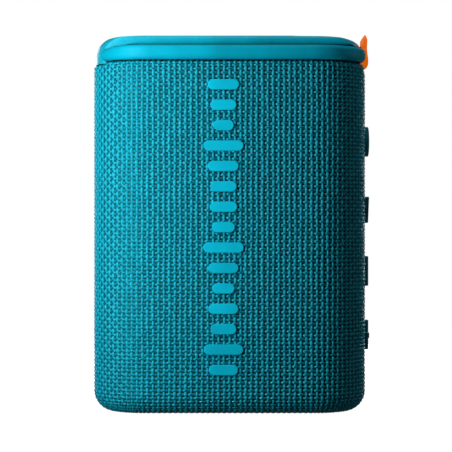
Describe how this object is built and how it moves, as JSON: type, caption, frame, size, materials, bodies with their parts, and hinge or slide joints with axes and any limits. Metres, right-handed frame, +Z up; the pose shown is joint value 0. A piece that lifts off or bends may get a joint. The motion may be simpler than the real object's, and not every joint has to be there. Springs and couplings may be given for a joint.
{
  "type": "portable speaker",
  "caption": "Upright rounded block speaker in woven fabric, with a carry strap hooked over the top, raised side keys and a covered charging port at the back.",
  "frame": {"origin": "centre of the footprint, on the surface the speaker stands on", "axes": "+Z up, front face towards -Y, keys and pull clip towards +X, charging port towards +Y"},
  "size_m": [0.0916, 0.0471, 0.125],
  "materials": {
    "fabric_teal": "thick plain weave",
    "strap_teal": "satin silicone",
    "cap_teal": "satin moulded",
    "key_teal": "satin moulded",
    "bars_cyan": "satin raised film",
    "clip_orange": "translucent satin",
    "inlay_rubber": "fine grip texture",
    "foot_rubber": "matt",
    "seal_rubber": "matt",
    "foam": "closed-cell foam",
    "shell_plastic": "fine moulded texture",
    "screw_steel": "zinc plated",
    "plated_steel": "nickel plated",
    "basket_steel": "black powder coat",
    "copper": "enamelled wire",
    "cone_paper": "pressed pulp",
    "spider_cloth": "resin-dipped cloth",
    "cell_wrap": "shrink wrapped",
    "wire_red": "insulated",
    "ribbon": "polyimide film",
    "board_green": "solder mask",
    "chip_black": "moulded"
  },
  "bodies": {
    "speaker": {"base_plate": "shell_plastic", "base_screws": "screw_steel", "battery_cell": "cell_wrap", "battery_cradle": "shell_plastic", "battery_leads": "wire_red", "board_parts": "chip_black", "cap_screws": "screw_steel", "cradle_screws": "screw_steel", "driver_basket": "basket_steel", "driver_gasket": "foam", "driver_leads": "wire_red", "driver_magnet": "plated_steel", "driver_screws": "screw_steel", "driver_spider": "spider_cloth", "driver_surround": "seal_rubber", "driver_yoke": "plated_steel", "fabric_sleeve": "fabric_teal", "foot_pad": "foot_rubber", "front_bars": "bars_cyan", "front_grille": "shell_plastic", "front_shell": "shell_plastic", "key_board": "board_green", "key_board_screws": "screw_steel", "key_ribbon": "ribbon", "main_board": "board_green", "main_screws": "screw_steel", "pole_plate": "plated_steel", "port_frame": "shell_plastic", "radiator_frame": "shell_plastic", "radiator_screws": "screw_steel", "radiator_surround": "seal_rubber", "rear_grille": "shell_plastic", "rear_shell": "shell_plastic", "shell_gasket": "seal_rubber", "shell_screws": "screw_steel", "switch_cases": "chip_black", "top_cap": "cap_teal", "top_inlay": "inlay_rubber", "usb_socket": "plated_steel"},
    "cone": {"driver_cone": "cone_paper", "dust_cap": "cone_paper", "voice_coil": "copper"},
    "radiator": {"radiator_plate": "cone_paper", "radiator_weight": "plated_steel"},
    "strap_body": {"strap": "strap_teal", "strap_pin": "screw_steel", "clip_pin": "screw_steel"},
    "clip_body": {"clip": "clip_orange"},
    "flap_body": {"port_flap": "strap_teal", "flap_pin": "screw_steel"},
    "key_power_body": {"key_power": "key_teal", "plunger_power": "chip_black"},
    "key_play_body": {"key_play": "key_teal", "plunger_play": "chip_black"},
    "key_minus_body": {"key_minus": "key_teal", "plunger_minus": "chip_black"},
    "key_plus_body": {"key_plus": "key_teal", "plunger_plus": "chip_black"}
  },
  "joints": [
    {"name": "press_power", "type": "slide", "parent": "speaker", "child": "key_power_body", "axis": [-1, 0, 0], "range_m": [0, 0.0006], "stiffness_N_per_m": 2500},
    {"name": "press_play", "type": "slide", "parent": "speaker", "child": "key_play_body", "axis": [-1, 0, 0], "range_m": [0, 0.0006], "stiffness_N_per_m": 2500},
    {"name": "press_minus", "type": "slide", "parent": "speaker", "child": "key_minus_body", "axis": [-1, 0, 0], "range_m": [0, 0.0006], "stiffness_N_per_m": 2500},
    {"name": "press_plus", "type": "slide", "parent": "speaker", "child": "key_plus_body", "axis": [-1, 0, 0], "range_m": [0, 0.0006], "stiffness_N_per_m": 2500},
    {"name": "cone_travel", "type": "slide", "parent": "speaker", "child": "cone", "axis": [0, -1, 0], "range_m": [-0.0015, 0.0015], "stiffness_N_per_m": 1250},
    {"name": "radiator_travel", "type": "slide", "parent": "speaker", "child": "radiator", "axis": [0, 1, 0], "range_m": [-0.0015, 0.0015], "stiffness_N_per_m": 700},
    {"name": "strap_swing", "type": "hinge", "parent": "speaker", "child": "strap_body", "pos_m": [-0.04375, 0, 0.1154], "axis": [0, -1, 0], "range_deg": [0, 90]},
    {"name": "clip_turn", "type": "hinge", "parent": "strap_body", "child": "clip_body", "pos_m": [0.04475, 0, 0.1209], "axis": [0, -1, 0], "range_deg": [0, 40]},
    {"name": "flap_turn", "type": "hinge", "parent": "speaker", "child": "flap_body", "pos_m": [0, 0.0221, 0.0169], "axis": [-1, 0, 0], "range_deg": [0, 95]}
  ]
}
